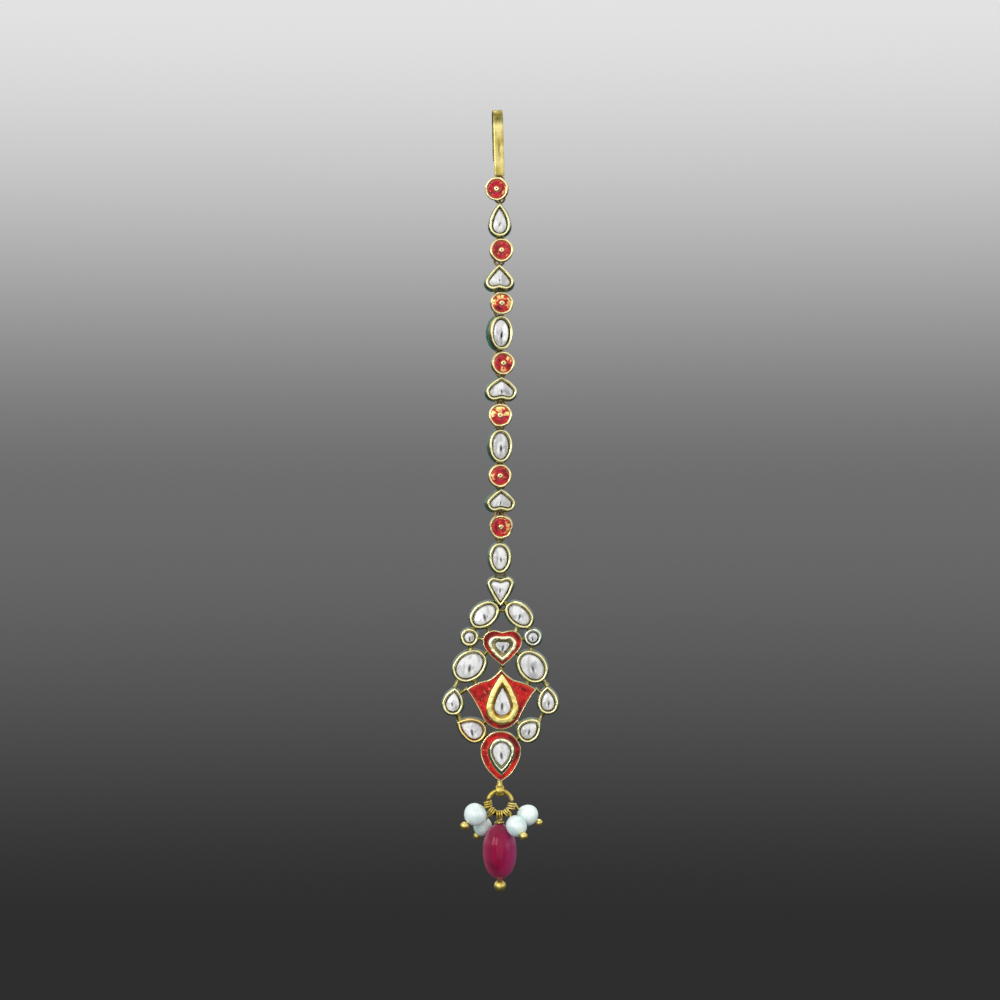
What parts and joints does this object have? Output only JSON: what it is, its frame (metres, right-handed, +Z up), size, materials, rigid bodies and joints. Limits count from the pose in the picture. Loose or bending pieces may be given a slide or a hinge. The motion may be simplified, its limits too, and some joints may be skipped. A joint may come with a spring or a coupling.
{
  "type": "maang tikka",
  "caption": "Gold forehead ornament: a flat hook, a strand of stone-set and enamelled links, an openwork pendant, and a ring drop with a long red bead and small pearls.",
  "frame": {"origin": "inside of the hook's bend, where the ornament hangs", "axes": "+Z up along the hanging strand, -Y the stone-set front, +X to the right seen from the front"},
  "size_m": [0.0213, 0.0093, 0.141],
  "materials": {
    "hook_gold": "worn pale gold strip",
    "box_gold": "burnished high-carat gold over green enamelled feet",
    "wire_gold": "polished gold wire",
    "polki": "flat uncut diamond over silver foil",
    "red_enamel": "translucent red enamel",
    "ruby": "polished translucent red bead",
    "pearl": "soft pearl lustre"
  },
  "bodies": {
    "strand": {"hook": "hook_gold", "round_link_1": "box_gold", "pear_link": "box_gold", "round_link_2": "box_gold", "heart_link_1": "box_gold", "round_link_3": "box_gold", "oval_link_1": "box_gold", "round_link_4": "box_gold", "heart_link_2": "box_gold", "round_link_5": "box_gold", "oval_link_2": "box_gold", "round_link_6": "box_gold", "heart_link_3": "box_gold", "round_link_7": "box_gold", "oval_link_3": "box_gold", "pear_stone": "polki", "heart_1_stone": "polki", "oval_1_stone": "polki", "heart_2_stone": "polki", "oval_2_stone": "polki", "heart_3_stone": "polki", "oval_3_stone": "polki", "enamel_disc_1": "red_enamel", "enamel_disc_2": "red_enamel", "enamel_disc_3": "red_enamel", "enamel_disc_4": "red_enamel", "enamel_disc_5": "red_enamel", "enamel_disc_6": "red_enamel", "enamel_disc_7": "red_enamel"},
    "pendant": {"pendant_frame": "box_gold", "top_heart_stone": "polki", "upper_oval_left_stone": "polki", "upper_oval_right_stone": "polki", "small_round_left_stone": "polki", "small_round_right_stone": "polki", "large_oval_left_stone": "polki", "large_oval_right_stone": "polki", "side_pear_left_stone": "polki", "side_pear_right_stone": "polki", "lower_pear_left_stone": "polki", "lower_pear_right_stone": "polki", "red_heart_stone": "polki", "tulip_stone": "polki", "teardrop_stone": "polki", "red_heart_enamel": "red_enamel", "tulip_enamel": "red_enamel", "teardrop_enamel": "red_enamel"},
    "drop": {"jump_ring": "wire_gold", "ruby_bead": "ruby", "ruby_pin": "wire_gold", "pearl_left_front": "pearl", "pearl_left_back": "pearl", "pearl_right_front": "pearl", "pearl_right_back": "pearl", "pearl_pin_left_front": "wire_gold", "pearl_pin_left_back": "wire_gold", "pearl_pin_right_front": "wire_gold", "pearl_pin_right_back": "wire_gold"}
  },
  "joints": [
    {"name": "pendant_swing", "type": "hinge", "parent": "strand", "child": "pendant", "pos_m": [0.0006, -0.00055, -0.0836], "axis": [1, 0, 0], "range_deg": [-10, 35]},
    {"name": "drop_swing", "type": "hinge", "parent": "pendant", "child": "drop", "pos_m": [0.00049, -0.0022, -0.12214], "axis": [1, 0, 0], "range_deg": [-70, 70]}
  ]
}
